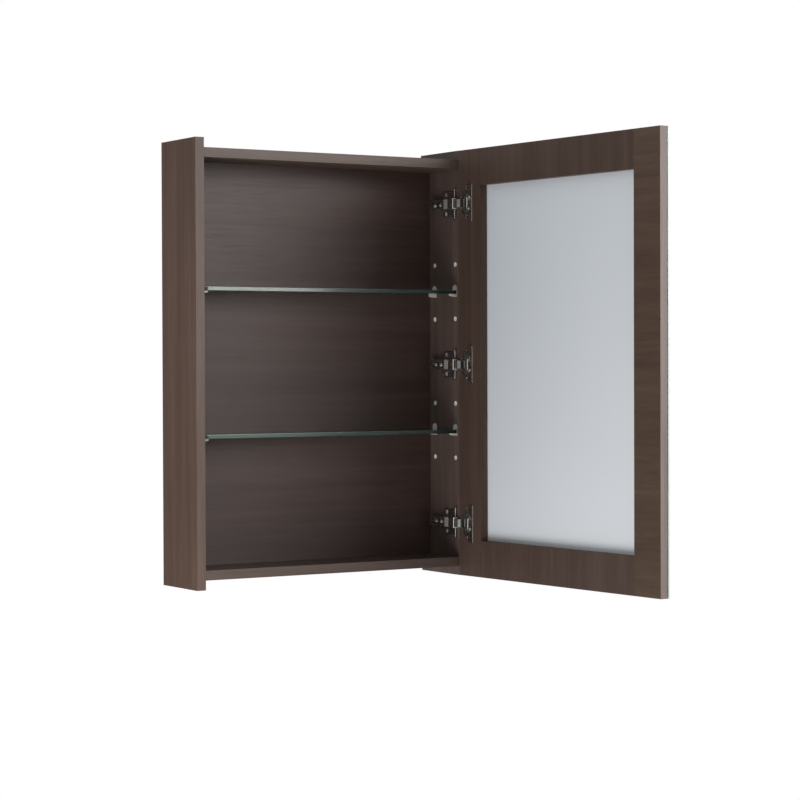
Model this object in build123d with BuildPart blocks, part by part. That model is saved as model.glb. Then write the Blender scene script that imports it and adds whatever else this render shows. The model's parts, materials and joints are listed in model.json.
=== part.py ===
from build123d import *
from math import radians, tan
import os

os.makedirs("parts", exist_ok=True)

# Axes: X to the right, Y into the wall (the wall is Y = 0), Z up. The origin is midway between the
# two wall screws. The door is drawn as it stands when it is opened to OPEN_ANGLE.

# Case
CASE_WIDTH = 508.0
CASE_HEIGHT = 711.2
CASE_DEPTH = 120.0
BOARD = 15.5
PLAY = 0.2  # between parts that fit together
END_INSET = 15.5  # the top and bottom panels are set in from the ends of the sides
BAND = 0.6  # edge banding
BOTTOM_Z = -600.0  # underside of the side panels
BACK_THICK = 9.0
BACK_SETBACK = 92.5  # front edge of the case to the face of the back panel
GROOVE_DEPTH = 5.0

# Hanging cleats behind the back panel
CLEAT_HEIGHT = 60.0
CLEAT_THICK = 18.0
WALL_SCREW_PITCH = 406.4
WALL_SCREW_HOLE = 5.0
WALL_SCREW_HEAD = 10.0
CLEAT_END_GAP = 6.0

# Knock-down fittings
CAM_DIAMETER = 15.0
CAM_INSET = 24.0
CAM_DEPTH = 12.0
CAM_SLOT = (8.0, 1.6)
CAM_SLOT_DEPTH = 2.2
CAM_SIDE_SLOT = 4.0
BOLT_BORE = 7.4
BOLT_ROD = 5.0
BOLT_HEAD = 3.0
DOWEL_DIAMETER = 8.0
DOWEL_LENGTH = 30.0
DOWEL_CHAMFER = 0.8
FITTING_SETBACKS = (22.0, 76.0)
DOWEL_SETBACKS = (36.0, 62.0)

# Glass shelves and the pegs that hold them
SHELF_GLASS = 6.0
SHELF_BOTTOMS = (238.1, 471.4)  # above the underside of the side panels
SHELF_SIDE_GAP = 2.2
SHELF_SETBACK = 2.5
SHELF_REAR_GAP = 1.5
SHELF_CORNER = 6.0
SHELF_ARRIS = 0.5
PEG_SETBACKS = (12.5, 76.0)
PEG_SPACING = 45.6
PEG_ABOVE_TAB = 4.2  # peg axis above the underside of the glass
PEG_PIN = 5.0
PEG_PIN_LENGTH = 7.5
PEG_WIDTH = 12.0
PEG_PLATE = 1.2
PEG_TAB = 8.6
PEG_ROOT = 4.2  # depth of the wedge under the glass, at the panel
PEG_TIP = 2.8
PEG_TONGUE = 15.4
PEG_DIMPLE = 4.4
PEG_DIMPLE_DEPTH = 0.6
SLEEVE_OUTER = 7.0
SLEEVE_BORE = 5.1
SLEEVE_LENGTH = 9.0
SLEEVE_RIM = 7.6
SLEEVE_RIM_THICK = 0.6

# Door: a timber frame with a mirror that covers its whole face
DOOR_WIDTH = 506.0
DOOR_HEIGHT = 709.2
DOOR_GAP = 1.7  # closed, between the case's front edge and the door
DOOR_REVEAL = 1.0
RAIL_WIDTH = 60.5
FRAME_THICK = 13.6
TAPE_THICK = 1.3
TAPE_WIDTH = 12.0
TAPE_INSET = 14.0
PAINT_THICK = 0.1
MIRROR_THICK = 3.0
MIRROR_BEVEL = 0.6
ARRIS = 0.4
OPEN_ANGLE = 93.5
LINK_RATIO = -0.2  # degrees that the links turn for each degree of the door
PAINT_INSET = 1.0
FRAME_DOWEL_LENGTH = 40.0
FRAME_DOWEL_OFFSETS = (-16.0, 16.0)

# Concealed cup hinges. Positions across the case are measured from its left face, and setbacks
# from its front edge, with the door closed.
HINGE_HEIGHTS = {"bottom": 88.4, "middle": 353.4, "top": 622.4}
ARM_PIVOT = (484.9, 4.7)
CUP_PIVOT = (499.0, -8.0)
PIN_RADIUS = 1.25
PIN_CLEARANCE = 0.05
CUP_CENTRE = 20.5  # from the door's edge
CUP_RADIUS = 17.5
CUP_DEPTH = 11.8
CUP_WALL = 0.6
EAR_INNER = 7.2
EAR_THICK = 1.2
EAR_SPAN = (5.4, 24.4)  # from the door's edge
EAR_DROP = 0.8  # below the door's inner face
BRIDGE_THICK = 1.8
BRIDGE_RISE = 0.8
FLANGE_THICK = 1.2
FLANGE_HEIGHT = 64.0
FLANGE_FAR = 38.5
FLANGE_SHOULDER = 31.0
FLANGE_CORNER = 2.5
FLANGE_NEAR = 12.0
FLANGE_NEAR_HEIGHT = 28.0
CUP_SCREW_PITCH = 48.0
CUP_SCREW_THREAD = 3.5
CUP_SCREW_HEAD = 5.6
CUP_SCREW_SINK = 5.4
CUP_SCREW_LENGTH = 11.0
CUP_SCREW_OFFSET = 6.0
ARM_WIDTH = 17.0
ARM_WALL = 1.2
ARM_FRONT = 1.6
ARM_REAR = 76.0
ARM_FACE = 12.2  # the arm's outer face above the side panel
ARM_SKIRT = 4.6  # lower edge of the arm's cheeks above the side panel
ARM_SCREW_SETBACKS = (43.0, 59.0)
PLATE_THICK = 2.0
PLATE_RIB_WIDTH = 13.6
PLATE_RIB_HEIGHT = 10.0
PLATE_RIB_SPAN = (20.0, 70.0)
PLATE_SCREW_SETBACK = 37.0
PLATE_SCREW_PITCH = 32.0
PLATE_SCREW_SHANK = 3.5
PLATE_SCREW_HEAD = 7.0
PLATE_SCREW_LENGTH = 12.0
ARM_SCREW_THREAD = 5.0
ARM_SCREW_HEAD = 8.5
ARM_SCREW_HEAD_HEIGHT = 2.2
COUNTERSINK = 82.0  # degrees
PLATE_OUTLINE = ((6.4, 26.0), (13.0, 26.0), (20.0, 21.5), (44.0, 21.5), (50.0, 6.8))  # setback, half height
PLATE_CORNER = 2.0
PLATE_LIP = (6.4, 1.4)  # setback and thickness
PLATE_LIP_SPAN = (9.5, 24.5)
PLATE_LIP_RISE = 3.0
LINK_WIDTH = 13.0
LINK_BAR = 3.0
LINK_EYE = 2.4
LINK_ELBOWS = ((486.3, -7.5), (490.6, -10.6))
LINK_BEND = 3.0
ARM_NOSE = (0.8, 0.8)
ARM_OPEN_FRONT = 0.4

# Worked out from the above
HALF = CASE_WIDTH / 2
INNER_X = HALF - BOARD
FRONT_Y = -CASE_DEPTH
BOARD_DEPTH = CASE_DEPTH - BAND
BACK_Y = FRONT_Y + BACK_SETBACK
BOTTOM_INNER = BOTTOM_Z + END_INSET + BOARD
TOP_INNER = BOTTOM_Z + CASE_HEIGHT - END_INSET - BOARD
MID_Z = BOTTOM_Z + CASE_HEIGHT / 2
HINGE_LEVELS = [BOTTOM_Z + height for height in HINGE_HEIGHTS.values()]
INNER_WIDTH = 2 * INNER_X
INNER_HEIGHT = TOP_INNER - BOTTOM_INNER
CLEAT_TIP = TOP_INNER - CLEAT_HEIGHT
SIDES = {"left": -1, "right": 1}
ENDS = {"bottom": (BOTTOM_INNER, -1), "top": (TOP_INNER, 1)}


def case_point(across, setback):
    """Turn a distance from the left face and a setback from the front edge into X and Y."""
    return Vector(across - HALF, setback + FRONT_Y)


def inner_face(sign):
    """Plane on a side panel's inner face, Z into the board and local Y up; local X is sign * Y."""
    return Plane(origin=(sign * INNER_X, 0, 0), x_dir=(0, sign, 0), z_dir=(sign, 0, 0))


def end_face(level, direction):
    """Plane on the inner face of the top or bottom panel; local Y is direction * Y."""
    return Plane(origin=(0, 0, level), x_dir=(1, 0, 0), z_dir=(0, 0, direction))


def peg_rows():
    """Heights of the rows of shelf pegs, three for each shelf."""
    middles = [BOTTOM_Z + low + PEG_ABOVE_TAB for low in SHELF_BOTTOMS]
    return [middle + step * PEG_SPACING for middle in middles for step in (-1, 0, 1)]


def along_board(sign, setbacks, height):
    """Points at one height on a side panel's inner face, at these setbacks from the front edge."""
    return [(sign * (FRONT_Y + setback), height) for setback in setbacks]


def finish(part, name):
    """Label a finished piece and write its file."""
    part.label = name
    export_step(part, f"parts/{name}.step")


def screws(plane, spots, shank, length, head, head_rise=0.0):
    """Cross-recessed screws on a plane; with no rise the heads are countersunk, flush with it."""
    with BuildPart() as group:
        with BuildSketch(plane):
            with Locations(spots):
                Circle(shank / 2)
        extrude(amount=-length)
        with BuildSketch(plane):
            with Locations(spots):
                Circle(head / 2)
        if head_rise:
            extrude(amount=head_rise, taper=12)
        else:
            extrude(amount=-(head - shank) / 2 / tan(radians(COUNTERSINK / 2)), taper=COUNTERSINK / 2)
        with BuildSketch(plane.offset(head_rise)):
            with Locations(spots):
                Rectangle(head * 0.6, head * 0.16)
                Rectangle(head * 0.16, head * 0.6)
        extrude(amount=-head * 0.18, mode=Mode.SUBTRACT)
    return group.part


# The door's place when open: the links turn about the arm pivot, the door about the cup pivot.
ARM_PIN = case_point(*ARM_PIVOT)
CLOSED_CUP_PIN = case_point(*CUP_PIVOT)
CLOSED_EDGE = case_point(CASE_WIDTH - DOOR_REVEAL, -DOOR_GAP)
LINK_TURN = OPEN_ANGLE * LINK_RATIO
CUP_PIN = ARM_PIN + (CLOSED_CUP_PIN - ARM_PIN).rotate(Axis.Z, LINK_TURN)
DOOR_EDGE = CUP_PIN + (CLOSED_EDGE - CLOSED_CUP_PIN).rotate(Axis.Z, OPEN_ANGLE)
ACROSS_DOOR = Vector(-1, 0).rotate(Axis.Z, OPEN_ANGLE)
DOOR_BOTTOM = BOTTOM_Z + (CASE_HEIGHT - DOOR_HEIGHT) / 2

# On the door's inner face: local X from the hinged edge, local Y up, local Z out of the inner face.
DOOR = Plane(
    origin=(DOOR_EDGE.X, DOOR_EDGE.Y, DOOR_BOTTOM),
    x_dir=ACROSS_DOOR,
    z_dir=Vector(0, 1).rotate(Axis.Z, OPEN_ANGLE),
)
MIRROR_FACE = FRAME_THICK + TAPE_THICK + PAINT_THICK

# Side panels

for side, sign in SIDES.items():
    face = inner_face(sign)
    with BuildPart() as side_panel:
        with BuildSketch(face):
            with Locations((-sign * BOARD_DEPTH / 2, MID_Z)):
                Rectangle(BOARD_DEPTH, CASE_HEIGHT)
        extrude(amount=BOARD)
        with BuildSketch(face):
            with Locations((sign * (BACK_Y + BACK_THICK / 2), MID_Z)):
                Rectangle(BACK_THICK + PLAY, INNER_HEIGHT + 2 * GROOVE_DEPTH)
        extrude(amount=GROOVE_DEPTH, mode=Mode.SUBTRACT)
        with BuildSketch(face):
            with Locations([(sign * (FRONT_Y + s), z) for s in PEG_SETBACKS for z in peg_rows()]):
                Circle(SLEEVE_OUTER / 2)
        extrude(amount=SLEEVE_LENGTH, mode=Mode.SUBTRACT)
        for level, direction in ENDS.values():
            height = level + direction * BOARD / 2
            with BuildSketch(face):
                with Locations(along_board(sign, FITTING_SETBACKS, height)):
                    Circle(BOLT_ROD / 2)
                with Locations(along_board(sign, DOWEL_SETBACKS, height)):
                    Circle(DOWEL_DIAMETER / 2)
            extrude(amount=DOWEL_LENGTH / 3, mode=Mode.SUBTRACT)
        if side == "right":
            with BuildSketch(face):
                with Locations([(FRONT_Y + PLATE_SCREW_SETBACK, level) for level in HINGE_LEVELS]):
                    with GridLocations(0, PLATE_SCREW_PITCH, 1, 2):
                        Circle(PLATE_SCREW_SHANK / 2)
            extrude(amount=PLATE_SCREW_LENGTH, mode=Mode.SUBTRACT)
    finish(side_panel.part, f"side_panel_{side}")

# Top and bottom panels

for end, (level, direction) in ENDS.items():
    face = end_face(level, direction)
    with BuildPart() as end_panel:
        with BuildSketch(face):
            with Locations((0, -direction * BOARD_DEPTH / 2)):
                Rectangle(INNER_WIDTH, BOARD_DEPTH)
        extrude(amount=BOARD)
        with BuildSketch(face):
            with Locations((0, direction * (BACK_Y + BACK_THICK / 2))):
                Rectangle(INNER_WIDTH, BACK_THICK + PLAY)
        extrude(amount=GROOVE_DEPTH, mode=Mode.SUBTRACT)
        with BuildSketch(face.offset(BOARD)):
            with Locations([(s * (INNER_X - CAM_INSET), direction * (FRONT_Y + setback))
                            for s in (-1, 1) for setback in FITTING_SETBACKS]):
                Circle(CAM_DIAMETER / 2)
        extrude(amount=-CAM_DEPTH, mode=Mode.SUBTRACT)
        for sign in SIDES.values():
            with BuildSketch(inner_face(sign)):
                with Locations(along_board(sign, FITTING_SETBACKS, level + direction * BOARD / 2)):
                    Circle(BOLT_BORE / 2)
            extrude(amount=-CAM_INSET, mode=Mode.SUBTRACT)
            with BuildSketch(inner_face(sign)):
                with Locations(along_board(sign, DOWEL_SETBACKS, level + direction * BOARD / 2)):
                    Circle(DOWEL_DIAMETER / 2)
            extrude(amount=-DOWEL_LENGTH * 2 / 3, mode=Mode.SUBTRACT)
    finish(end_panel.part, f"{end}_panel")

# Edge banding on the front edges of the case

with BuildPart() as case_edge_bands:
    with BuildSketch(Plane.XZ.offset(CASE_DEPTH - BAND)):
        with Locations([(sign * (INNER_X + BOARD / 2), MID_Z) for sign in SIDES.values()]):
            Rectangle(BOARD, CASE_HEIGHT)
        with Locations([(0, level + direction * BOARD / 2) for level, direction in ENDS.values()]):
            Rectangle(INNER_WIDTH - PLAY, BOARD)
    extrude(amount=BAND)
finish(case_edge_bands.part, "case_edge_bands")

# Back panel, held in grooves all round

with BuildPart() as back_panel:
    with BuildSketch(Plane.XZ.offset(-BACK_Y)):
        with Locations((0, MID_Z)):
            Rectangle(INNER_WIDTH + 2 * GROOVE_DEPTH - 3 * PLAY, INNER_HEIGHT + 2 * GROOVE_DEPTH - 3 * PLAY)
    extrude(amount=-BACK_THICK)
finish(back_panel.part, "back_panel")

# Hanging cleats with a 45 degree hook: one on the case, one screwed to the wall

CLEAT_FRONT = BACK_Y + BACK_THICK
CLEAT_BACK = CLEAT_FRONT + CLEAT_THICK

with BuildPart() as cabinet_cleat:
    with BuildSketch(Plane.YZ.offset(-INNER_X)):
        with BuildLine():
            Polyline(
                (CLEAT_FRONT, TOP_INNER),
                (CLEAT_BACK, TOP_INNER),
                (CLEAT_BACK, CLEAT_TIP),
                (CLEAT_FRONT, CLEAT_TIP + CLEAT_THICK),
                close=True,
            )
        make_face()
    extrude(amount=INNER_WIDTH)
finish(cabinet_cleat.part, "cabinet_cleat")

WALL_CLEAT_FRONT = -CLEAT_THICK
WALL_CLEAT_TOP = CLEAT_TIP + CLEAT_THICK - (WALL_CLEAT_FRONT - CLEAT_FRONT) - PLAY / 2

with BuildPart() as wall_cleat:
    with BuildSketch(Plane.YZ.offset(-INNER_X + CLEAT_END_GAP)):
        with BuildLine():
            Polyline(
                (WALL_CLEAT_FRONT, -CLEAT_HEIGHT / 2),
                (0, -CLEAT_HEIGHT / 2),
                (0, WALL_CLEAT_TOP - CLEAT_THICK),
                (WALL_CLEAT_FRONT, WALL_CLEAT_TOP),
                close=True,
            )
        make_face()
    extrude(amount=INNER_WIDTH - 2 * CLEAT_END_GAP)
    with Locations(Plane.XZ.offset(CLEAT_THICK)):
        with GridLocations(WALL_SCREW_PITCH, 0, 2, 1):
            CounterSinkHole(WALL_SCREW_HOLE / 2, WALL_SCREW_HEAD / 2, depth=CLEAT_THICK)
finish(wall_cleat.part, "wall_cleat")

# Spacer rail that keeps the case upright at its foot

with BuildPart() as spacer_rail:
    with BuildSketch(Plane.XZ.offset(-CLEAT_FRONT)):
        with Locations((0, BOTTOM_INNER + CLEAT_HEIGHT / 2)):
            Rectangle(INNER_WIDTH, CLEAT_HEIGHT)
    extrude(amount=CLEAT_FRONT)
finish(spacer_rail.part, "spacer_rail")

# Cam locks in the top and bottom panels, with a cross recess and a slot for the bolt's head

with BuildPart() as cam_locks:
    for level, direction in ENDS.values():
        face = end_face(level, direction).offset(BOARD)
        spots = [(s * (INNER_X - CAM_INSET), direction * (FRONT_Y + setback))
                 for s in (-1, 1) for setback in FITTING_SETBACKS]
        with BuildSketch(face):
            with Locations(spots):
                Circle(CAM_DIAMETER / 2 - PLAY / 2)
        extrude(amount=-CAM_DEPTH + 2 * PLAY)
        with BuildSketch(face):
            with Locations(spots):
                Rectangle(*CAM_SLOT)
                Rectangle(*reversed(CAM_SLOT))
        extrude(amount=-CAM_SLOT_DEPTH, mode=Mode.SUBTRACT)
        for sign in SIDES.values():
            with BuildSketch(inner_face(sign).offset(-CAM_INSET - CAM_SIDE_SLOT)):
                with Locations(along_board(sign, FITTING_SETBACKS, level + direction * BOARD / 2)):
                    Circle(BOLT_BORE / 2)
            extrude(amount=CAM_DIAMETER, mode=Mode.SUBTRACT)
finish(cam_locks.part, "cam_locks")

with BuildPart() as cam_bolts:
    for level, direction in ENDS.values():
        for sign in SIDES.values():
            spots = along_board(sign, FITTING_SETBACKS, level + direction * BOARD / 2)
            with BuildSketch(inner_face(sign).offset(DOWEL_LENGTH / 3)):
                with Locations(spots):
                    Circle(BOLT_ROD / 2)
            extrude(amount=-DOWEL_LENGTH / 3 - CAM_INSET + BOLT_HEAD)
            with BuildSketch(inner_face(sign).offset(-CAM_INSET + BOLT_HEAD)):
                with Locations(spots):
                    Circle(BOLT_BORE / 2 - 2 * PLAY)
            extrude(amount=-BOLT_HEAD)
finish(cam_bolts.part, "cam_bolts")

with BuildPart() as case_dowels:
    for level, direction in ENDS.values():
        for sign in SIDES.values():
            with BuildSketch(inner_face(sign).offset(DOWEL_LENGTH / 3)):
                with Locations(along_board(sign, DOWEL_SETBACKS, level + direction * BOARD / 2)):
                    Circle(DOWEL_DIAMETER / 2)
            extrude(amount=-DOWEL_LENGTH)
    chamfer(case_dowels.edges().filter_by(GeomType.CIRCLE), DOWEL_CHAMFER)
finish(case_dowels.part, "case_dowels")

# Shelves, pegs and the sleeves that the pegs plug into

SHELF_WIDTH = INNER_WIDTH - 2 * SHELF_SIDE_GAP
SHELF_DEPTH = BACK_SETBACK - SHELF_SETBACK - SHELF_REAR_GAP

for shelf, low in zip(("lower", "upper"), SHELF_BOTTOMS):
    with BuildPart() as glass_shelf:
        with BuildSketch(Plane.XY.offset(BOTTOM_Z + low)):
            with Locations((0, FRONT_Y + SHELF_SETBACK + SHELF_DEPTH / 2)):
                Rectangle(SHELF_WIDTH, SHELF_DEPTH)
        extrude(amount=SHELF_GLASS)
        upright = glass_shelf.edges().filter_by(Axis.Z)
        fillet(upright.group_by(Axis.Y)[0], SHELF_CORNER)
        flat_faces = glass_shelf.faces().filter_by(Axis.Z)
        chamfer(flat_faces.edges(), SHELF_ARRIS)
    finish(glass_shelf.part, f"shelf_{shelf}")

    with BuildPart() as shelf_pegs:
        for sign in SIDES.values():
            for setback in PEG_SETBACKS:
                along = sign * (FRONT_Y + setback)
                tongue_face = inner_face(sign).offset(-SLEEVE_RIM_THICK)
                tab_top = BOTTOM_Z + low
                dome = tab_top + PEG_TONGUE - PEG_WIDTH / 2
                with BuildSketch(tongue_face):
                    with Locations((along, (tab_top - PEG_ROOT + dome) / 2)):
                        Rectangle(PEG_WIDTH, dome - tab_top + PEG_ROOT)
                    with Locations((along, dome)):
                        Circle(PEG_WIDTH / 2)
                extrude(amount=-PEG_PLATE)
                with BuildSketch(tongue_face.offset(-PEG_PLATE)):
                    with Locations((along, dome)):
                        Circle(PEG_DIMPLE / 2)
                extrude(amount=PEG_DIMPLE_DEPTH, mode=Mode.SUBTRACT)
                root = sign * (INNER_WIDTH / 2 - SLEEVE_RIM_THICK - PEG_PLATE / 2)
                tip = sign * (INNER_WIDTH / 2 - SLEEVE_RIM_THICK - PEG_TAB)
                with BuildSketch(Plane.XZ.offset(-FRONT_Y - setback)):
                    with BuildLine():
                        Polyline((root, tab_top), (tip, tab_top), (tip, tab_top - PEG_TIP),
                                 (root, tab_top - PEG_ROOT), close=True)
                    make_face()
                extrude(amount=PEG_WIDTH / 2, both=True)
                with BuildSketch(tongue_face):
                    with Locations((along, tab_top + PEG_ABOVE_TAB)):
                        Circle(PEG_PIN / 2)
                extrude(amount=PEG_PIN_LENGTH)
    finish(shelf_pegs.part, f"shelf_pegs_{shelf}")

with BuildPart() as peg_sleeves:
    for sign in SIDES.values():
        spots = [(sign * (FRONT_Y + s), z) for s in PEG_SETBACKS for z in peg_rows()]
        with BuildSketch(inner_face(sign)):
            with Locations(spots):
                Circle(SLEEVE_OUTER / 2)
        extrude(amount=SLEEVE_LENGTH - PLAY)
        with BuildSketch(inner_face(sign)):
            with Locations(spots):
                Circle(SLEEVE_RIM / 2)
        extrude(amount=-SLEEVE_RIM_THICK)
        with BuildSketch(inner_face(sign).offset(-SLEEVE_RIM_THICK)):
            with Locations(spots):
                Circle(SLEEVE_BORE / 2)
        extrude(amount=SLEEVE_LENGTH, mode=Mode.SUBTRACT)
finish(peg_sleeves.part, "peg_sleeves")

# Door frame: stiles run the full height, rails fit between them

FRAME_WIDTH = DOOR_WIDTH - 2 * BAND
FRAME_HEIGHT = DOOR_HEIGHT - 2 * BAND
STILE = RAIL_WIDTH - BAND
CUP_SPOTS = [(CUP_CENTRE, BOTTOM_Z + h - DOOR_BOTTOM) for h in HINGE_HEIGHTS.values()]
RAIL_CENTRES = {"bottom": BAND + STILE / 2, "top": DOOR_HEIGHT - BAND - STILE / 2}
STILE_CENTRES = {"hinge": BAND + STILE / 2, "free": DOOR_WIDTH - BAND - STILE / 2}
SEAMS = {"hinge": BAND + STILE, "free": DOOR_WIDTH - BAND - STILE}
INTO_STILE = {"hinge": -1, "free": 1}


def seam_face(seam):
    """Plane on a joint between a stile and the rails: local X up, local Y out of the inner face."""
    return Plane(origin=DOOR.from_local_coords((seam, 0, 0)), x_dir=(0, 0, 1), z_dir=ACROSS_DOOR)


FRAME_DOWELS = [(c + o, -FRAME_THICK / 2) for c in RAIL_CENTRES.values() for o in FRAME_DOWEL_OFFSETS]

for stile, centre in STILE_CENTRES.items():
    with BuildPart() as door_stile:
        with BuildSketch(DOOR):
            with Locations((centre, DOOR_HEIGHT / 2)):
                Rectangle(STILE, FRAME_HEIGHT)
        extrude(amount=-FRAME_THICK)
        with BuildSketch(seam_face(SEAMS[stile])):
            with Locations(FRAME_DOWELS):
                Circle(DOWEL_DIAMETER / 2)
        extrude(amount=INTO_STILE[stile] * FRAME_DOWEL_LENGTH / 2, mode=Mode.SUBTRACT)
        if stile == "hinge":
            with BuildSketch(DOOR):
                with Locations(CUP_SPOTS):
                    Circle(CUP_RADIUS)
            extrude(amount=-CUP_DEPTH - PLAY, mode=Mode.SUBTRACT)
            with BuildSketch(DOOR):
                with Locations([(x + CUP_SCREW_OFFSET, y) for x, y in CUP_SPOTS]):
                    with GridLocations(0, CUP_SCREW_PITCH, 1, 2):
                        Circle(CUP_SCREW_THREAD / 2)
            extrude(amount=-CUP_SCREW_LENGTH, mode=Mode.SUBTRACT)
    finish(door_stile.part, f"door_stile_{stile}")

for rail, centre in RAIL_CENTRES.items():
    with BuildPart() as door_rail:
        with BuildSketch(DOOR):
            with Locations((DOOR_WIDTH / 2, centre)):
                Rectangle(SEAMS["free"] - SEAMS["hinge"], STILE)
        extrude(amount=-FRAME_THICK)
        for stile, seam in SEAMS.items():
            with BuildSketch(seam_face(seam)):
                with Locations([(centre + o, -FRAME_THICK / 2) for o in FRAME_DOWEL_OFFSETS]):
                    Circle(DOWEL_DIAMETER / 2)
            extrude(amount=-INTO_STILE[stile] * FRAME_DOWEL_LENGTH / 2, mode=Mode.SUBTRACT)
    finish(door_rail.part, f"door_rail_{rail}")

with BuildPart() as door_dowels:
    for seam in SEAMS.values():
        with BuildSketch(seam_face(seam)):
            with Locations(FRAME_DOWELS):
                Circle(DOWEL_DIAMETER / 2)
        extrude(amount=FRAME_DOWEL_LENGTH / 2, both=True)
finish(door_dowels.part, "door_dowels")

# Edge banding round the outside of the frame; its inner arris is eased

with BuildPart() as door_edge_bands:
    with BuildSketch(DOOR):
        with Locations((BAND / 2, DOOR_HEIGHT / 2), (DOOR_WIDTH - BAND / 2, DOOR_HEIGHT / 2)):
            Rectangle(BAND, DOOR_HEIGHT)
        with Locations((DOOR_WIDTH / 2, BAND / 2), (DOOR_WIDTH / 2, DOOR_HEIGHT - BAND / 2)):
            Rectangle(DOOR_WIDTH - 2 * BAND - PLAY, BAND)
    extrude(amount=-FRAME_THICK)
    hinged_band = door_edge_bands.solids().sort_by(Axis.Y)[-1]
    chamfer(hinged_band.edges().filter_by(Axis.Z).sort_by(Axis.X)[0], ARRIS)
finish(door_edge_bands.part, "door_edge_bands")

# Mirror, its painted back, and the tape that bonds it to the frame

with BuildPart() as mirror_tape:
    with BuildSketch(DOOR.offset(-FRAME_THICK)):
        for inset in (TAPE_INSET, RAIL_WIDTH - TAPE_INSET):
            with Locations((inset, DOOR_HEIGHT / 2), (DOOR_WIDTH - inset, DOOR_HEIGHT / 2)):
                Rectangle(TAPE_WIDTH, DOOR_HEIGHT - 2 * RAIL_WIDTH)
            with Locations((DOOR_WIDTH / 2, inset), (DOOR_WIDTH / 2, DOOR_HEIGHT - inset)):
                Rectangle(DOOR_WIDTH - 2 * TAPE_INSET, TAPE_WIDTH)
    extrude(amount=-TAPE_THICK)
finish(mirror_tape.part, "mirror_tape")

with BuildPart() as mirror_paint:
    with BuildSketch(DOOR.offset(-FRAME_THICK - TAPE_THICK)):
        with Locations((DOOR_WIDTH / 2, DOOR_HEIGHT / 2)):
            Rectangle(DOOR_WIDTH - 2 * PAINT_INSET, DOOR_HEIGHT - 2 * PAINT_INSET)
    extrude(amount=-PAINT_THICK)
finish(mirror_paint.part, "mirror_paint")

with BuildPart() as mirror_glass:
    with BuildSketch(DOOR.offset(-MIRROR_FACE)):
        with Locations((DOOR_WIDTH / 2, DOOR_HEIGHT / 2)):
            Rectangle(DOOR_WIDTH, DOOR_HEIGHT)
    extrude(amount=-MIRROR_THICK)
    chamfer(mirror_glass.faces().sort_by(Axis(DOOR.origin, DOOR.z_dir))[0].edges(), MIRROR_BEVEL)
finish(mirror_glass.part, "mirror_glass")

# Hinges

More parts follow.
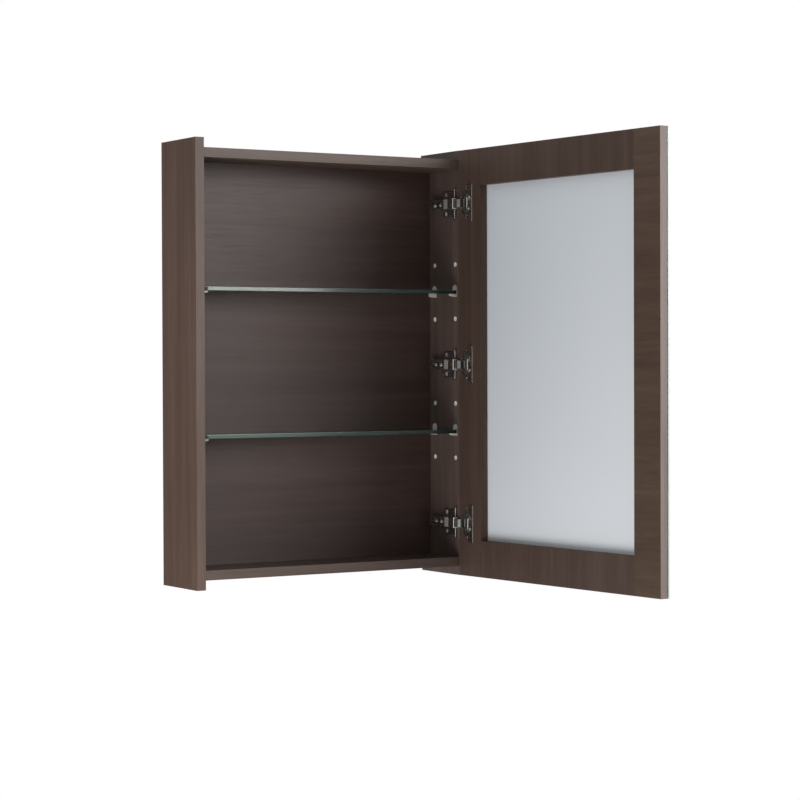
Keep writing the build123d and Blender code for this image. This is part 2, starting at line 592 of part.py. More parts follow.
for hinge, height in HINGE_HEIGHTS.items():
    level = BOTTOM_Z + height
    wall = inner_face(SIDES["right"])
    screw_y = FRONT_Y + PLATE_SCREW_SETBACK

    # Mounting plate: broad wings, an upstanding lip along their front edge and a rib under the arm
    outline = [(FRONT_Y + s, level + h) for s, h in PLATE_OUTLINE]
    lower_outline = [(FRONT_Y + s, level - h) for s, h in reversed(PLATE_OUTLINE)]
    with BuildPart() as hinge_plate:
        with BuildSketch(wall):
            with BuildLine():
                Polyline(*outline, *lower_outline, close=True)
            make_face()
            fillet(vertices(), PLATE_CORNER)
            with Locations((FRONT_Y + sum(PLATE_RIB_SPAN) / 2, level)):
                Rectangle(PLATE_RIB_SPAN[1] - PLATE_RIB_SPAN[0], PLATE_RIB_WIDTH)
        extrude(amount=-PLATE_THICK)
        with BuildSketch(wall.offset(-PLATE_THICK)):
            with Locations([(FRONT_Y + PLATE_LIP[0] + PLATE_LIP[1] / 2, level + way * sum(PLATE_LIP_SPAN) / 2)
                            for way in (-1, 1)]):
                Rectangle(PLATE_LIP[1], PLATE_LIP_SPAN[1] - PLATE_LIP_SPAN[0])
        extrude(amount=-PLATE_LIP_RISE)
        with BuildSketch(wall.offset(-PLATE_THICK)):
            with Locations((FRONT_Y + sum(PLATE_RIB_SPAN) / 2, level)):
                Rectangle(PLATE_RIB_SPAN[1] - PLATE_RIB_SPAN[0], PLATE_RIB_WIDTH)
        extrude(amount=PLATE_THICK - PLATE_RIB_HEIGHT)
        with Locations(Plane((INNER_X - PLATE_THICK, screw_y, level), x_dir=(0, 1, 0), z_dir=(-1, 0, 0))):
            with GridLocations(0, PLATE_SCREW_PITCH, 1, 2):
                CounterSinkHole(PLATE_SCREW_SHANK / 2 + PLAY, PLATE_SCREW_HEAD / 2, depth=PLATE_THICK)
        with BuildSketch(wall.offset(-PLATE_RIB_HEIGHT)):
            with Locations([(FRONT_Y + s, level) for s in ARM_SCREW_SETBACKS]):
                Circle(ARM_SCREW_THREAD / 2)
        extrude(amount=PLATE_RIB_HEIGHT - PLATE_THICK, mode=Mode.SUBTRACT)
    finish(hinge_plate.part, f"hinge_plate_{hinge}")

    # Arm: a channel over the rib, its cheeks drilled at the front for the link's pin
    with BuildPart() as hinge_arm:
        with BuildSketch(Plane.XY.offset(level - ARM_WIDTH / 2)):
            with BuildLine():
                Polyline(
                    (INNER_X - ARM_FACE, FRONT_Y + ARM_REAR),
                    (INNER_X - ARM_FACE, FRONT_Y + ARM_FRONT + ARM_NOSE[1]),
                    (INNER_X - ARM_FACE + ARM_NOSE[0], FRONT_Y + ARM_FRONT),
                    (INNER_X - ARM_SKIRT, FRONT_Y + ARM_FRONT),
                    (INNER_X - ARM_SKIRT, FRONT_Y + ARM_REAR),
                    close=True,
                )
            make_face()
        extrude(amount=ARM_WIDTH)
        with BuildSketch(Plane.XY.offset(level - ARM_WIDTH / 2 + ARM_WALL)):
            with BuildLine():
                Polyline(
                    (INNER_X - ARM_FACE + ARM_WALL, FRONT_Y + ARM_REAR),
                    (INNER_X - ARM_FACE + ARM_WALL, FRONT_Y + ARM_FRONT + ARM_OPEN_FRONT),
                    (INNER_X - ARM_FACE - ARM_WALL, FRONT_Y + ARM_FRONT + ARM_OPEN_FRONT),
                    (INNER_X - ARM_FACE - ARM_WALL, FRONT_Y),
                    (INNER_X, FRONT_Y),
                    (INNER_X, FRONT_Y + ARM_REAR),
                    close=True,
                )
            make_face()
        extrude(amount=ARM_WIDTH - 2 * ARM_WALL, mode=Mode.SUBTRACT)
        with BuildSketch(Plane.XY.offset(level - ARM_WIDTH / 2)):
            with Locations((ARM_PIN.X, ARM_PIN.Y)):
                Circle(PIN_RADIUS + PIN_CLEARANCE)
        extrude(amount=ARM_WIDTH, mode=Mode.SUBTRACT)
        with BuildSketch(wall.offset(-ARM_FACE)):
            with Locations([(FRONT_Y + s, level) for s in ARM_SCREW_SETBACKS]):
                Circle(ARM_SCREW_THREAD / 2 + PLAY)
        extrude(amount=ARM_WALL, mode=Mode.SUBTRACT)
    finish(hinge_arm.part, f"hinge_arm_{hinge}")

    # Link: a bent bar with an eye at each end, drawn closed and turned with the door
    closed_path = [ARM_PIN, *(case_point(*p) for p in LINK_ELBOWS), CLOSED_CUP_PIN]
    path = [ARM_PIN + (p - ARM_PIN).rotate(Axis.Z, LINK_TURN) for p in closed_path]
    with BuildPart() as hinge_link:
        with BuildSketch(Plane.XY.offset(level - LINK_WIDTH / 2)):
            with BuildLine() as bar_line:
                FilletPolyline(*[(p.X, p.Y) for p in path], radius=LINK_BEND)
            trace(bar_line.line, line_width=LINK_BAR)
            with Locations((ARM_PIN.X, ARM_PIN.Y), (CUP_PIN.X, CUP_PIN.Y)):
                Circle(LINK_EYE)
            with Locations((ARM_PIN.X, ARM_PIN.Y), (CUP_PIN.X, CUP_PIN.Y)):
                Circle(PIN_RADIUS, mode=Mode.SUBTRACT)
        extrude(amount=LINK_WIDTH)
    finish(hinge_link.part, f"hinge_link_{hinge}")

    # Cup with its winged flange, the two ears that hold the link's pin, and the bridge between them
    cup_y = level - DOOR_BOTTOM
    with BuildPart() as hinge_cup:
        with BuildSketch(DOOR):
            with Locations((CUP_CENTRE, cup_y)):
                Circle(CUP_RADIUS)
        extrude(amount=-CUP_DEPTH)
        with BuildSketch(DOOR):
            with BuildLine():
                Polyline(
                    (FLANGE_FAR, cup_y + FLANGE_HEIGHT / 2),
                    (FLANGE_FAR, cup_y - FLANGE_HEIGHT / 2),
                    (FLANGE_SHOULDER, cup_y - FLANGE_HEIGHT / 2),
                    (FLANGE_NEAR, cup_y - FLANGE_NEAR_HEIGHT / 2),
                    (FLANGE_NEAR, cup_y + FLANGE_NEAR_HEIGHT / 2),
                    (FLANGE_SHOULDER, cup_y + FLANGE_HEIGHT / 2),
                    close=True,
                )
            make_face()
            fillet(vertices(), FLANGE_CORNER)
        extrude(amount=FLANGE_THICK)
        with BuildSketch(DOOR.offset(FLANGE_THICK)):
            with Locations((CUP_CENTRE, cup_y)):
                Circle(CUP_RADIUS - CUP_WALL)
        extrude(amount=-CUP_DEPTH - FLANGE_THICK + CUP_WALL, mode=Mode.SUBTRACT)
        with BuildSketch(Plane.XY.offset(level - EAR_INNER - EAR_THICK)):
            ear_corners = [(EAR_SPAN[0], -EAR_DROP), (EAR_SPAN[1], -EAR_DROP),
                           (EAR_SPAN[1], -CUP_DEPTH), (EAR_SPAN[0], -CUP_DEPTH)]
            with BuildLine():
                Polyline(*[(DOOR.from_local_coords((u, 0, v)).X, DOOR.from_local_coords((u, 0, v)).Y)
                           for u, v in ear_corners], close=True)
            make_face()
            with Locations((CUP_PIN.X, CUP_PIN.Y)):
                Circle(PIN_RADIUS + PIN_CLEARANCE, mode=Mode.SUBTRACT)
        extrude(amount=EAR_THICK)
        mirror(about=Plane.XY.offset(level))
        with BuildSketch(DOOR.offset(-CUP_DEPTH)):
            with Locations((EAR_SPAN[1] + BRIDGE_THICK / 2, cup_y)):
                Rectangle(BRIDGE_THICK, 2 * (EAR_INNER + EAR_THICK))
        extrude(amount=CUP_DEPTH + BRIDGE_RISE)
        with Locations(DOOR.offset(FLANGE_THICK)):
            with Locations((CUP_CENTRE + CUP_SCREW_OFFSET, cup_y)):
                with GridLocations(0, CUP_SCREW_PITCH, 1, 2):
                    CounterSinkHole(CUP_SCREW_THREAD / 2 + PLAY, CUP_SCREW_HEAD / 2, depth=FLANGE_THICK)
    finish(hinge_cup.part, f"hinge_cup_{hinge}")

with BuildPart() as hinge_pins:
    for height in HINGE_HEIGHTS.values():
        for pin in (ARM_PIN, CUP_PIN):
            with BuildSketch(Plane.XY.offset(BOTTOM_Z + height)):
                with Locations((pin.X, pin.Y)):
                    Circle(PIN_RADIUS)
            extrude(amount=ARM_WIDTH / 2 - PLAY, both=True)
finish(hinge_pins.part, "hinge_pins")

# Screws: local X runs forwards on the side panel's fittings

PLATE_FACE = Plane(origin=(INNER_X - PLATE_THICK, 0, 0), x_dir=(0, -1, 0), z_dir=(-1, 0, 0))
plate_spots = [(-FRONT_Y - PLATE_SCREW_SETBACK, BOTTOM_Z + h + side * PLATE_SCREW_PITCH / 2)
               for h in HINGE_HEIGHTS.values() for side in (-1, 1)]
finish(screws(PLATE_FACE, plate_spots, PLATE_SCREW_SHANK, PLATE_SCREW_LENGTH, PLATE_SCREW_HEAD - PLAY),
       "plate_screws")

cup_spots = [(x + CUP_SCREW_OFFSET, y + side * CUP_SCREW_PITCH / 2) for x, y in CUP_SPOTS for side in (-1, 1)]
finish(screws(DOOR.offset(FLANGE_THICK), cup_spots, CUP_SCREW_THREAD, CUP_SCREW_LENGTH, CUP_SCREW_SINK),
       "cup_screws")

arm_spots = [(-FRONT_Y - s, BOTTOM_Z + h) for h in HINGE_HEIGHTS.values() for s in ARM_SCREW_SETBACKS]
finish(screws(PLATE_FACE.offset(ARM_FACE - PLATE_THICK), arm_spots, ARM_SCREW_THREAD,
              ARM_FACE - PLATE_THICK - 2 * PLAY, ARM_SCREW_HEAD, ARM_SCREW_HEAD_HEIGHT), "arm_screws")
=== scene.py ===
import sys
import json
import logging
from dataclasses import dataclass
from enum import Enum
from math import cos, radians, sin
from typing import Any, Callable

import bmesh
import bpy
from mathutils import Matrix, Vector


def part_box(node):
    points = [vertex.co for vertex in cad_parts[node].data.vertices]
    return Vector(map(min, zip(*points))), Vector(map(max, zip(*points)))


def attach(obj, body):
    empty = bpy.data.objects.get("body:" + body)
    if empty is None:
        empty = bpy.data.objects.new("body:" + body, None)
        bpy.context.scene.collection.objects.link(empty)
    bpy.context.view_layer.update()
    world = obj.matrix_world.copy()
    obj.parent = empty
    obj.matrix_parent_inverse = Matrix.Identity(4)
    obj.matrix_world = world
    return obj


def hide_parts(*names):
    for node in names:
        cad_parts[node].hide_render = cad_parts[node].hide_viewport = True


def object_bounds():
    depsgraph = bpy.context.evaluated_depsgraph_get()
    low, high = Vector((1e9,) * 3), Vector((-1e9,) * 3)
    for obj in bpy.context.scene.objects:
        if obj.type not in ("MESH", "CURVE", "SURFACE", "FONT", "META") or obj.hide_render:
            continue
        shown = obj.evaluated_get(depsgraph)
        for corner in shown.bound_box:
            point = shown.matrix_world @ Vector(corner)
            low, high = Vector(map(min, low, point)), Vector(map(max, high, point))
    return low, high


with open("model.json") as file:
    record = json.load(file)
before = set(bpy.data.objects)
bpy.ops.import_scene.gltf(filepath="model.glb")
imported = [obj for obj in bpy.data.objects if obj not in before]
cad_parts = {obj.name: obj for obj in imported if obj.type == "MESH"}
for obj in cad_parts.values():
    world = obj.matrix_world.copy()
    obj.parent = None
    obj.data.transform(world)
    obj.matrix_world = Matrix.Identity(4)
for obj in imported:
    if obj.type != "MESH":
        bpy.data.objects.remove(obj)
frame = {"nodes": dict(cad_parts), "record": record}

logging.basicConfig(level=logging.INFO, format="%(message)s", stream=sys.stdout)
log = logging.getLogger("cabinet")

MM = 0.001
CAD_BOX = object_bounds()

# Vertices closer than WELD, in metres, are one; faces that turn less than FLAT are one face.
# Edges that turn more than HARD are eased, and those that turn less than SMOOTH are shaded smooth.
WELD = 2e-6
FLAT = radians(0.5)
HARD = radians(40.0)
SMOOTH = radians(32.0)
EASE_STEPS = 2
ROUND_PROFILE = 0.5
FACE_WEIGHT = 80
NEARLY_SQUARE = 0.9

Colour = tuple[float, float, float]
Point = tuple[float, float, float]


def linear(red: int, green: int, blue: int) -> Colour:
    """A colour as a paint chart gives it, from 0 to 255, turned into linear light.

    Args:
        red: Red, 0 to 255.
        green: Green, 0 to 255.
        blue: Blue, 0 to 255.

    Returns:
        The three linear values.
    """
    def channel(value: int) -> float:
        """One channel in linear light."""
        share = value / 255
        return share / 12.92 if share <= 0.04045 else ((share + 0.055) / 1.055) ** 2.4

    return channel(red), channel(green), channel(blue)


def rgba(colour: Colour) -> tuple[float, float, float, float]:
    """The colour with full alpha."""
    return (*colour, 1.0)


# ---------------------------------------------------------------------------
# Shader maths
# ---------------------------------------------------------------------------


class Value:
    """One output socket of a node graph, with arithmetic that adds Math nodes."""

    def __init__(self, sheet: "Graph", socket: bpy.types.NodeSocket) -> None:
        """Remember the socket and the graph that it belongs to."""
        self.sheet = sheet
        self.socket = socket

    @property
    def owner(self) -> bpy.types.Node:
        """The node that the socket is on."""
        return self.socket.node

    def _math(self, operation: str, first: Any, second: Any) -> "Value":
        """A Math node's result for two values or links."""
        return self.sheet.node("ShaderNodeMath", {"operation": operation}, {0: first, 1: second})

    def __add__(self, other: Any) -> "Value":
        """self + other."""
        return self._math("ADD", self, other)

    __radd__ = __add__

    def __sub__(self, other: Any) -> "Value":
        """self - other."""
        return self._math("SUBTRACT", self, other)

    def __rsub__(self, other: Any) -> "Value":
        """other - self."""
        return self._math("SUBTRACT", other, self)

    def __mul__(self, other: Any) -> "Value":
        """self * other."""
        return self._math("MULTIPLY", self, other)

    __rmul__ = __mul__

    def at_most(self, limit: float) -> "Value":
        """The smaller of self and limit."""
        return self._math("MINIMUM", self, limit)

    def at_least(self, limit: float) -> "Value":
        """The larger of self and limit."""
        return self._math("MAXIMUM", self, limit)

    def spread(self, low: float, high: float, to_low: float = 0.0,
               to_high: float = 1.0) -> "Value":
        """self carried smoothly from one range to another, and held at its ends.

        Args:
            low: Start of the range it comes from.
            high: End of the range it comes from.
            to_low: Result at low.
            to_high: Result at high.

        Returns:
            The carried value.
        """
        return self.sheet.node("ShaderNodeMapRange", {"interpolation_type": "SMOOTHSTEP"}, {
            "Value": self, "From Min": low, "From Max": high, "To Min": to_low, "To Max": to_high,
        })


class Graph:
    """A node tree under construction, whose nodes are all made by one method."""

    def __init__(self, tree: bpy.types.NodeTree) -> None:
        """Take over an empty node tree."""
        self.tree = tree
        self.tree.nodes.clear()

    def node(self, kind: str, settings: dict[str, Any] | None = None,
             values: dict[Any, Any] | None = None, output: Any = 0) -> Value | None:
        """Make any node.

        Args:
            kind: The node's type.
            settings: Its own settings, set first; "stops" gives a colour ramp's stops.
            values: What its input sockets hold: numbers, colours or links.
            output: The output socket wanted.

        Returns:
            That output, or None for a node that has none.
        """
        made = self.tree.nodes.new(kind)
        for key, value in (settings or {}).items():
            if key == "stops":
                ramp = made.color_ramp.elements
                while len(ramp) < len(value):
                    ramp.new(0.5)
                for stop, (place, colour) in zip(ramp, value):
                    stop.position = place
                    stop.color = rgba(colour)
            else:
                setattr(made, key, value)
        for socket, value in (values or {}).items():
            self.feed(made.inputs[socket], value)
        return Value(self, made.outputs[output]) if made.outputs else None

    def feed(self, socket: bpy.types.NodeSocket, value: Any) -> None:
        """Link a value to a socket, or set the socket to it."""
        if isinstance(value, Value):
            self.tree.links.new(value.socket, socket)
        elif isinstance(value, tuple) and len(value) == 3 and socket.type == "RGBA":
            socket.default_value = rgba(value)
        else:
            socket.default_value = value

    def place(self, stretch: Point = (1, 1, 1), shift: Point = (0, 0, 0)) -> Value:
        """Object coordinates in metres, stretched and shifted."""
        spot = self.node("ShaderNodeTexCoord", output="Object")
        return self.node(
            "ShaderNodeMapping", {}, {"Vector": spot, "Location": shift, "Scale": stretch}
        )

    def axis(self, name: str) -> Value:
        """One of the object coordinates, in metres."""
        spot = self.node("ShaderNodeTexCoord", output="Object")
        return self.node("ShaderNodeSeparateXYZ", {}, {0: spot}, output=name)

    def noise(self, spot: Value, scale: float, detail: float = 4.0, roughness: float = 0.55,
              distortion: float = 0.0) -> Value:
        """Cloudy noise from 0 to 1 at a place.

        Args:
            spot: Where it is read.
            scale: Its scale.
            detail: Octaves.
            roughness: How much the finer octaves weigh.
            distortion: How far it is swirled.

        Returns:
            The noise.
        """
        return self.node("ShaderNodeTexNoise", {}, {
            "Vector": spot, "Scale": scale, "Detail": detail, "Roughness": roughness,
            "Distortion": distortion,
        })

    def ramp(self, value: Any, stops: list[tuple[float, Colour]]) -> Value:
        """A colour ramp read at a value."""
        return self.node("ShaderNodeValToRGB", {"stops": stops}, {0: value})

    def blend(self, share: Any, first: Any, second: Any) -> Value:
        """Two colours mixed by a share from 0 to 1."""
        return self.node(
            "ShaderNodeMix", {"data_type": "RGBA", "clamp_factor": True},
            {0: share, 6: first, 7: second}, output=2,
        )


SOCKETS = {
    "base_color": "Base Color", "roughness": "Roughness", "metallic": "Metallic", "ior": "IOR",
    "specular": "Specular IOR Level", "transmission": "Transmission Weight",
}


class Recipe(Graph):
    """A material that is being mixed, with one Principled surface."""

    def __init__(self, name: str) -> None:
        """Start the material."""
        self.material = bpy.data.materials.new(name)
        self.material.use_nodes = True
        super().__init__(self.material.node_tree)
        self.surface = self.node("ShaderNodeBsdfPrincipled")
        self.finish(self.surface)

    def finish(self, surface: Value) -> None:
        """Make this the surface that the material shows."""
        out = next((node for node in self.tree.nodes if node.type == "OUTPUT_MATERIAL"), None)
        if out is None:
            self.node("ShaderNodeOutputMaterial", {}, {0: surface})
        else:
            self.feed(out.inputs[0], surface)

    def bump(self, height: Value, strength: float, distance: float) -> None:
        """Raise the surface by a height map.

        Args:
            height: The map.
            strength: 0 to 1.
            distance: Depth in metres.
        """
        raised = self.node(
            "ShaderNodeBump", {}, {"Strength": strength, "Distance": distance, "Height": height}
        )
        self.feed(self.surface.owner.inputs["Normal"], raised)

    def coat(self, **values: Any) -> bpy.types.Material:
        """Feed the surface's sockets and hand the material over.

        Args:
            values: Socket names in lower case, with underscores for spaces.

        Returns:
            The finished material.
        """
        for name, value in values.items():
            self.feed(self.surface.owner.inputs[SOCKETS[name]], value)
        return self.material


# ---------------------------------------------------------------------------
# Finishes
# ---------------------------------------------------------------------------


class Grain(Enum):
    """Which way the timber grain runs; the value is the stretch along X, Y and Z."""

    UP = (1.0, 1.0, 0.035)
    ACROSS = (0.035, 1.0, 1.0)
    DEEP = (1.0, 0.035, 1.0)


@dataclass(frozen=True)
class Laminate:
    """Printed timber-grain laminate with a satin face and fine pressed pores."""

    name: str
    grain: Grain
    dark: Colour
    middle: Colour
    light: Colour
    roughness: float = 0.46
    specular: float = 0.24
    shift: Point = (0.0, 0.0, 0.0)
    cloud: float = 0.5
    pore_length: float = 0.35
    pore_depth: float = 0.12 * MM
    pore_shade: float = 0.45

    def mix(self) -> bpy.types.Material:
        """The laminate's material."""
        sheet = Recipe(self.name)
        stretch = self.grain.value
        spot = sheet.place(stretch, self.shift)
        figure = sheet.noise(spot, scale=34.0, detail=5.0, roughness=0.6, distortion=0.6)
        streak = sheet.noise(spot, scale=210.0, detail=4.0, roughness=0.65, distortion=0.2)
        fine = tuple(part * (self.pore_length if part < 1 else 1.0) for part in stretch)
        pore = sheet.noise(
            sheet.place(fine, self.shift), scale=1500.0, detail=2.0, roughness=0.5
        )
        cloud = sheet.noise(sheet.place(shift=self.shift), scale=5.0, detail=3.0, roughness=0.5)
        tone = figure * 0.62 + streak * 0.38 + (cloud - 0.5) * self.cloud * 0.35
        wood = sheet.ramp(tone, [(0.30, self.dark), (0.50, self.middle), (0.70, self.light)])
        deep = pore.spread(0.60, 0.74)
        pressed = tuple(part * self.pore_shade for part in self.dark)
        wood = sheet.blend(deep * self.pore_shade, wood, pressed)
        sheet.bump(streak * 0.4 - deep * 0.8, strength=0.25, distance=self.pore_depth)
        roughness = self.roughness + (streak - 0.5) * 0.16 + deep * 0.12
        return sheet.coat(base_color=wood, roughness=roughness, specular=self.specular)


@dataclass(frozen=True)
class RawTimber:
    """Plain planed softwood, as on the hanging cleats and dowels."""

    name: str
    grain: Grain
    dark: Colour = linear(150, 112, 72)
    light: Colour = linear(206, 172, 126)
    specular: float = 0.3

    def mix(self) -> bpy.types.Material:
        """The timber's material."""
        sheet = Recipe(self.name)
        spot = sheet.place(self.grain.value)
        rings = sheet.noise(spot, scale=90.0, detail=4.0, roughness=0.55, distortion=0.8)
        fibre = sheet.noise(spot, scale=700.0, detail=3.0, roughness=0.6)
        tone = rings * 0.7 + fibre * 0.3
        wood = sheet.ramp(tone, [(0.32, self.dark), (0.66, self.light)])
        sheet.bump(fibre, strength=0.3, distance=0.2 * MM)
        roughness = 0.62 + (fibre - 0.5) * 0.2
        return sheet.coat(base_color=wood, roughness=roughness, specular=self.specular)


@dataclass(frozen=True)
class Plating:
    """Nickel or zinc on pressed or cast metal."""

    name: str
    tint: Colour
    roughness: float
    ripple: float
    dullness: float = 0.5
    metallic: float = 1.0

    def mix(self) -> bpy.types.Material:
        """The plating's material."""
        sheet = Recipe(self.name)
        spot = sheet.place()
        smudge = sheet.noise(spot, scale=120.0, detail=4.0, roughness=0.6)
        pits = sheet.noise(spot, scale=1400.0, detail=2.0, roughness=0.5)
        shade = tuple(part * self.dullness for part in self.tint)
        metal = sheet.blend(smudge.spread(0.35, 0.75) * 0.6, self.tint, shade)
        sheet.bump(smudge * 0.8 + pits * 0.2, strength=self.ripple, distance=0.4 * MM)
        roughness = self.roughness + (smudge - 0.5) * 0.16 + pits * 0.04
        return sheet.coat(base_color=metal, metallic=self.metallic, roughness=roughness)


@dataclass(frozen=True)
class ClearGlass:
    """The faces of a float-glass shelf, with faint dust and wipe marks."""

    name: str = "shelf_glass_face"
    tint: Colour = linear(214, 232, 226)
    ior: float = 1.5

    def mix(self) -> bpy.types.Material:
        """The glass's material."""
        sheet = Recipe(self.name)
        haze = sheet.noise(sheet.place((1, 3, 1)), scale=30.0, detail=4.0, roughness=0.6)
        roughness = 0.01 + haze.spread(0.5, 0.9) * 0.05
        return sheet.coat(
            base_color=self.tint, roughness=roughness, transmission=1.0, ior=self.ior
        )


@dataclass(frozen=True)
class GlassEdge:
    """A polished green glass edge, painted paler at the left and deeper towards the right as painted light
    and shade.
    """

    name: str
    deep: Colour
    pale: Colour
    left: float
    right: float
    specular: float = 0.35
    transmission: float = 0.25
    ior: float = 1.5

    def mix(self) -> bpy.types.Material:
        """The edge's material."""
        sheet = Recipe(self.name)
        along = sheet.axis("X").spread(self.left, self.right)
        wave = sheet.noise(sheet.place((1, 1, 4)), scale=60.0, detail=4.0, roughness=0.6)
        # Painted light and shade: paler at the left end, deeper towards the right, with random waves.
        depth = (along * 0.85 + (wave - 0.5) * 0.5).at_least(0.0).at_most(1.0)
        green = sheet.blend(depth, self.pale, self.deep)
        return sheet.coat(
            base_color=green, roughness=0.16 + wave * 0.08, specular=self.specular,
            transmission=self.transmission, ior=self.ior,
        )


@dataclass(frozen=True)
class Silvering:
    """The mirror's face: silvered glass with the faint waves of float glass."""

    name: str = "mirror_silver"
    clean: Colour = linear(240, 243, 242)
    smeared: Colour = linear(228, 234, 232)

    def mix(self) -> bpy.types.Material:
        """The mirror's material."""
        sheet = Recipe(self.name)
        wave = sheet.noise(sheet.place(), scale=3.0, detail=2.0, roughness=0.4)
        smear = sheet.noise(sheet.place((1, 1, 2)), scale=26.0, detail=4.0, roughness=0.6)
        tint = sheet.blend(smear.spread(0.4, 0.8) * 0.5, self.clean, self.smeared)
        sheet.bump(wave, strength=0.05, distance=0.4 * MM)
        roughness = 0.012 + smear.spread(0.5, 0.9) * 0.03
        return sheet.coat(base_color=tint, metallic=1.0, roughness=roughness)


@dataclass(frozen=True)
class BackingPaint:
    """Grey protective paint on the back of the mirror, with a soft sheen and painted shading: darker towards
    the top and the hinge side, lighter towards the bottom and the free edge.
    """

    name: str = "mirror_back_paint"
    # The paint's grey, as painted shade at the top and hinge side and as painted light at the bottom and free
    # edge.
    shaded_grey: Colour = linear(200, 206, 211)
    lit_grey: Colour = linear(210, 214, 218)
    reach: float = 0.5
    specular: float = 0.3

    def mix(self) -> bpy.types.Material:
        """The paint's material."""
        sheet = Recipe(self.name)
        low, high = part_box("mirror_paint")
        middle = (low + high) / 2
        up = sheet.axis("Z") - middle.z
        out = middle.y - sheet.axis("Y")
        # Painted shading: darker towards the top and the hinge side, lighter towards the bottom and the free
        # edge.
        slope = out * 0.9 - up
        cloud = sheet.noise(sheet.place(), scale=7.0, detail=3.0, roughness=0.5)
        stipple = sheet.noise(sheet.place(), scale=1300.0, detail=2.0, roughness=0.5)
        tone = slope.spread(-self.reach, self.reach) * 0.8 + cloud * 0.2
        paint = sheet.ramp(tone, [(0.1, self.shaded_grey), (0.9, self.lit_grey)])
        sheet.bump(stipple, strength=0.12, distance=0.08 * MM)
        roughness = 0.5 + (cloud - 0.5) * 0.1
        return sheet.coat(base_color=paint, roughness=roughness, specular=self.specular)


@dataclass(frozen=True)
class Foam:
    """Foam with fine cells."""

    name: str
    shade: Colour
    light: Colour
    roughness: float

    def mix(self) -> bpy.types.Material:
        """The foam's material."""
        sheet = Recipe(self.name)
        cell = sheet.noise(sheet.place(), scale=900.0, detail=3.0, roughness=0.6)
        body = sheet.blend(cell.spread(0.3, 0.7), self.shade, self.light)
        sheet.bump(cell, strength=0.4, distance=0.2 * MM)
        return sheet.coat(base_color=body, roughness=self.roughness + (cell - 0.5) * 0.2)


OUTER_BOARD = Laminate("case_outer_laminate", Grain.UP, linear(70, 53, 44),
                       linear(85, 65, 55), linear(100, 79, 67), specular=0.1)
INNER_BOARD = Laminate("case_inner_laminate", Grain.UP, linear(68, 56, 51),
                       linear(82, 68, 63), linear(97, 82, 76))
END_BOARD = Laminate("case_end_laminate", Grain.ACROSS, linear(60, 47, 40),
                     linear(72, 58, 49), linear(85, 70, 60))
BACK_BOARD = Laminate("back_laminate", Grain.ACROSS, linear(53, 38, 34),
                      linear(62, 47, 42), linear(71, 55, 51), specular=0.3)
BAND_UP = Laminate("edge_band_upright", Grain.UP, linear(67, 53, 46),
                   linear(81, 65, 57), linear(95, 78, 68))
BAND_ACROSS = Laminate("edge_band_level", Grain.ACROSS, linear(65, 54, 48),
                       linear(78, 65, 59), linear(92, 78, 70))
DOOR_UP = Laminate("door_laminate_upright", Grain.UP, linear(63, 49, 43),
                   linear(72, 57, 50), linear(83, 67, 60), specular=0.16)
DOOR_LEVEL = Laminate("door_laminate_level", Grain.DEEP, linear(67, 52, 43),
                      linear(78, 62, 52), linear(89, 72, 61),
                      specular=0.16, shift=(0.3, 0.1, 0.4))
# Painted light: the door's edge band is a much lighter copy of the door laminate, standing for the light and
# sheen on the lit free end of the door.
DOOR_BAND_PAINTED_LIGHT = Laminate("door_edge_band_painted_light", Grain.UP, linear(94, 81, 76),
                     linear(107, 94, 89), linear(121, 107, 102))
SOFTWOOD = RawTimber("raw_timber", Grain.ACROSS)

HINGE_NICKEL = Plating("hinge_nickel", linear(206, 203, 198),
                       roughness=0.24, ripple=0.08, dullness=0.75)
# Painted shade: a darker copy of the hinge nickel for the links, standing for the shade that they lie in.
LINK_PAINTED_SHADE = Plating("link_nickel_painted_shade", linear(150, 148, 145),
                      roughness=0.3, ripple=0.12, dullness=0.6)
# Painted highlights: pale, mostly matte copies of the hinge metal for the edges of the hinges; the first is
# brighter, the second, for the flange ends, is dimmer.
PAINTED_EDGE_HIGHLIGHT = Plating("painted_edge_highlight", linear(244, 240, 234),
                      roughness=0.4, ripple=0.05, dullness=0.85, metallic=0.25)
FLANGE_EDGE_HIGHLIGHT = Plating("flange_edge_painted_highlight", linear(196, 192, 188),
                   roughness=0.4, ripple=0.05, dullness=0.85, metallic=0.3)
# Painted highlight: a paler, brighter copy of the screw steel for the plate screws, standing for the glints
# on their heads.
SCREW_PAINTED_GLINT = Plating("plate_screw_painted_glint", linear(226, 224, 220),
                       roughness=0.32, ripple=0.1, dullness=0.5, metallic=0.55)
# Painted shade: a darker copy of the peg nickel, for the pegs on the left side.
PEG_SHADED = Plating("peg_nickel_painted_shade", linear(128, 126, 122),
                     roughness=0.5, ripple=0.1, dullness=0.9, metallic=0.6)
PEG_NICKEL = Plating("peg_nickel", linear(218, 213, 207),
                     roughness=0.42, ripple=0.1, dullness=0.9, metallic=0.3)
SLEEVE_NICKEL = Plating("sleeve_nickel", linear(246, 240, 234),
                        roughness=0.45, ripple=0.05, dullness=0.95, metallic=0.15)
PAD_ZINC = Plating("pad_zinc", linear(150, 144, 138),
                   roughness=0.5, ripple=0.1, dullness=0.9, metallic=0.3)
SCREW_STEEL = Plating("screw_steel", linear(150, 149, 147),
                      roughness=0.2, ripple=0.1, dullness=0.6)
ZINC = Plating("zinc_casting", linear(176, 178, 182),
               roughness=0.42, ripple=0.4, dullness=0.7)
TAPE = Foam("foam_tape", linear(22, 22, 22), linear(44, 44, 44), roughness=0.8)

# Edge greens, each pale at the left as painted light and deep at the right as painted shade.
SHELF_DEEP, SHELF_PALE = linear(12, 30, 24), linear(70, 90, 82)
ARRIS_DEEP, ARRIS_PALE = linear(30, 60, 50), linear(190, 205, 198)
MIRROR_DEEP, MIRROR_PALE = linear(196, 210, 203), linear(222, 230, 226)


